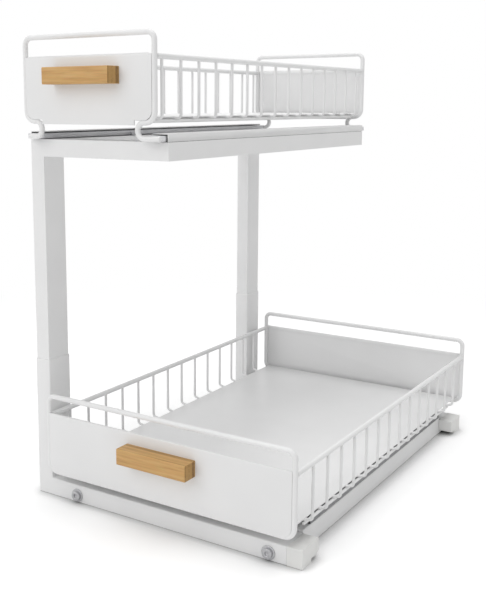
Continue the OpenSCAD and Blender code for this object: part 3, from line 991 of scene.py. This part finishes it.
class PulloutBasketLook(bpy.types.PropertyGroup):
    """Sizes and colours of the basket's finish"""
    tube_corner: length("Tube Corner", "Outside corner radius of the steel tubes", 0.0013)
    tube_rim: length("Tube Rim", "Flat rim shown round an open sleeve", 0.0006)
    tube_depth: length("Tube Depth", "How deep an open sleeve is modelled", 0.004)
    cap_rounding: length("Cap Rounding", "Edge radius of the end caps", 0.0010)
    metal_rounding: length("Metal Rounding", "Edge radius of screws and pins", 0.0003)
    sheet_rounding: length("Sheet Rounding", "Edge radius of the sheet parts", 0.0003)
    wire_diameter: length("Frame Wire", "Diameter of the frame wire", 0.005)
    rail_wire: length("Rail Wire", "Diameter of the top side rails", 0.005)
    lower_rail_wire: length("Lower Rail Wire", "Diameter of the lower side rails", 0.003)
    thin_wire: length("Thin Wire", "Diameter of the thin wires", 0.0028)
    bottom_bend: length("Bottom Bend", "Centre-line radius of the bottom bends", 0.0095)
    guard_bend: length("Guard Bend", "Centre-line radius of the top bends", 0.007)
    strand_bend: length("Strand Bend", "Centre-line radius of the thin wires' bends", 0.0030)
    strand_knee: length("Strand Knee", "Height of the thin wires' slanted part", 0.0018)
    lower_rail_in: length("Lower Rail Inset", "From the side to a lower rail's centre", 0.0084)
    lower_rail_lift: length("Lower Rail Lift", "Rise of a lower rail over its CAD one", 0.0010)
    turn_in: length("Turn In", "How far the thin wires turn in under the tray", 0.0125)
    weld_bite: length("Weld Bite", "How deep the thin wires sink into the lower rails", 0.0002)
    weld_depth: length("Weld Depth", "How far welded tubes reach into each other", 0.006)
    basket_height: length("Basket Height", "Height of a basket's frame wire", 0.0817)
    foot_bend: length("Foot Bend", "Centre-line radius of the upper feet", 0.00705)
    foot_in: length("Foot Inset", "Distance of the upper feet from the basket's sides", 0.021)
    tip_front: length("Near Tip", "Gap from a track's outside to the shorter foot tip", 0.008)
    tip_back: length("Far Tip", "Gap from a track's outside to the longer foot tip", 0.0022)
    drop_gap: length("Drop Gap", "Half gap between a foot and the panel's lower edge", 0.00125)
    tray_wider: length("Tray Wider", "Reach of the lower tray past its CAD sides", 0.0019)
    upper_tray_wider: length(
        "Upper Tray Wider", "Reach of the upper tray past its CAD sides", 0.0034)
    upper_wrap: value("Upper Wrap", "Bare wire below the upper panels, in wire radii", 1.7)
    side_wrap: value("Side Wrap", "Wire covered at a panel's sides, in wire radii", 0.3)
    panel_raise: length("Panel Raise", "Height of the lower panels over their CAD top", 0.0014)
    panel_forward: length("Panel Forward", "How far a panel's face stands forward", 0.00055)
    panel_sheet: length("Panel Sheet", "Sheet thickness of the panels", 0.0012)
    hem_in: length("Hem Inset", "Gap between a panel's hem and the frame wire", 0.004)
    hem_height: length("Hem Height", "Height of a panel's folded hem", 0.0035)
    hem_rounding: length("Hem Rounding", "Radius of a panel's folded top edge", 0.0009)
    track_rounding: length("Track Rounding", "Edge radius of tracks and runners", 0.0003)
    track_seam: length("Track Seam", "Gap where a liner shows under a track's edge", 0.0006)
    track_sheet: length("Track Sheet", "Sheet thickness of the tracks", 0.0009)
    liner_sheet: length("Liner Sheet", "Wall of the black liners", 0.0006)
    liner_gap: length("Liner Gap", "Gap between a liner and its track's side", 0.0003)
    liner_reach: length("Liner Reach", "How far a liner reaches under its flange", 0.0165)
    lip_start: length("Lip Start", "Outer edge of a lower liner's front lip", 0.0008)
    lip_end: length("Lip End", "Inner edge of a lower liner's front lip", 0.0080)
    lip_sheet: length("Lip Sheet", "Height of the front lip over the flange", 0.00045)
    liner_rounding: length("Liner Rounding", "Edge radius of the liners", 0.00012)
    runner_lift: length("Runner Lift", "Gap shown under the runners", 0.0004)
    runner_out: length("Runner Out", "How far a runner is wider towards its open side", 0.0030)
    runner_rise: length("Runner Rise", "How far a runner stands above its CAD top", 0.0003)
    runner_sheet: length("Runner Sheet", "Sheet thickness of the runners", 0.0012)
    low_foot_reach: length("Lower Foot Reach", "Length of a lower foot's leg", 0.0219)
    low_foot_bend: length("Lower Foot Bend", "Centre-line radius of the lower feet", 0.0034)
    low_wires: count("Lower Wires", "Thin wires along the lower basket", 14, 2)
    low_first: length("Lower First Wire", "Lower basket's front to its first wire", 0.0341)
    low_last: length("Lower Last Wire", "Lower basket's last wire to its rear", 0.0355)
    up_wires: count("Upper Wires", "Thin wires along the upper basket", 15, 2)
    up_first: length("Upper First Wire", "Upper basket's front to its first wire", 0.0115)
    up_last: length("Upper Last Wire", "Upper basket's last wire to its rear", 0.0238)
    handle_rounding: length("Handle Rounding", "Radius of a handle's long edges", 0.0010)
    handle_end_rounding: length("Handle End Rounding", "Radius of the end edges", 0.0005)
    wire_sides: count("Wire Sides", "Faces round a wire", 20, 8)
    bend_steps: count("Bend Steps", "Sections in a wire's bend", 8, 3)
    steel_white: colour("Steel White", "Light tone of the powder coat", "#E8E8E8")
    steel_shade: colour("Steel Shade", "Dark tone of the powder coat", "#E5E5E5")
    cap_white: colour("Cap White", "Light tone of the end caps", "#E4E4E2")
    cap_shade: colour("Cap Shade", "Dark tone of the end caps", "#E0E0DE")
    # The liners' black is partly painted shade under the track flanges
    liner_black: colour("Liner Black", "Dark tone of the liners", "#1A1A1A")
    liner_grey: colour("Liner Grey", "Light tone of the liners", "#2C2C2C")
    zinc_bright: colour("Zinc Bright", "Light tone of the screws' zinc", "#D0D0D2")
    zinc_shade: colour("Zinc Shade", "Dark tone of the screws' zinc", "#A6A6A9")
    runner_bright: colour("Runner Bright", "Light tone of the runners", "#E6E6E8")
    runner_shade: colour("Runner Shade", "Dark tone of the runners", "#D6D6D9")
    # The lower tracks' two greys are painted shade of the gap under the lower basket
    track_painted_shade_pale: colour("Track Painted Shade Pale", "Light tone of the lower tracks", "#9A9A9C")
    track_painted_shade_deep: colour("Track Painted Shade Deep", "Dark tone of the lower tracks", "#8B8B8D")
    wood_light: colour("Wood Light", "Light tone of the wood", "#DFB57B")
    wood_mid: colour("Wood Middle", "Middle tone of the wood", "#D2A668")
    wood_dark: colour("Wood Dark", "Dark tone of the wood", "#BC8B50")
    edge_mid: colour("Wood Edge Middle", "Middle tone of the wood's top edge", "#BB9152")
    edge_dark: colour("Wood Edge Dark", "Dark tone of the wood's top edge", "#9C743A")
    end_mid: colour("Wood End Middle", "Middle tone of the end grain", "#AB8344")
    end_dark: colour("Wood End Dark", "Dark tone of the end grain", "#7F5B2B")
    floor_white: value("Floor White", "Floor tone that the camera sees", 1.12)
    floor_bounce: value("Floor Bounce", "Floor tone that lights the object", 0.96)
    contact_reach: length("Contact Reach", "Width of the contact shadow", 0.014)
    contact_power: value("Contact Power", "Depth of the contact shadow", 0.65)
    floor_near: length("Floor Near", "Distance at which the seen floor starts to fade", 0.45)
    floor_far: length("Floor Far", "Distance at which the seen floor is white", 1.0)
    floor_height: value("Floor Height", "Height of the floor", 0.0, unit="LENGTH")
    world_strength: value("World Strength", "Light of the surroundings", 0.54)
    key_power: power("Key Light", "Power of the key light", 24.0)
    top_power: power("Top Light", "Power of the top light", 42.0)
    right_power: power("Right Light", "Power of the right light", 1.0)
    front_power: power("Front Light", "Power of the front light", 4.0)
    camera_place: bpy.props.FloatVectorProperty(
        name="Camera Place", description="Where the camera stands", size=3,
        default=(0.47768, -0.86000, 0.38958), subtype="TRANSLATION", unit="LENGTH")
    camera_yaw: angle("Camera Yaw", "Turn of the camera to the left", 33.477)
    camera_pitch: angle("Camera Pitch", "Tilt of the camera down", 9.366)
    camera_lens: value("Camera Lens", "Focal length in millimetres", 54.712)
    camera_shift: bpy.props.FloatVectorProperty(
        name="Camera Shift", description="Shift of the camera's frame", size=2,
        default=(0.0761, -0.0767))


class PulloutBasketPanel(bpy.types.Panel):
    """Sidebar panel that lists the pieces"""
    bl_label = "Pull-Out Basket"
    bl_idname = "VIEW3D_PT_pullout_basket"
    bl_space_type = "VIEW_3D"
    bl_region_type = "UI"
    bl_category = "Basket"

    def draw(self, context):
        for operator in OPERATORS:
            self.layout.operator(operator.bl_idname)
        for name in PulloutBasketLook.__annotations__:
            self.layout.prop(context.scene.pullout_basket, name)


CLASSES = (PulloutBasketLook, *OPERATORS, PulloutBasketPanel)


def register():
    for each in CLASSES:
        bpy.utils.register_class(each)
    bpy.types.Scene.pullout_basket = bpy.props.PointerProperty(type=PulloutBasketLook)


def unregister():
    del bpy.types.Scene.pullout_basket
    for each in reversed(CLASSES):
        bpy.utils.unregister_class(each)


def main():
    register()
    for operator in OPERATORS:
        group, call = operator.bl_idname.split(".")
        getattr(getattr(bpy.ops, group), call)()
    only()


if __name__ == "__main__":
    main()
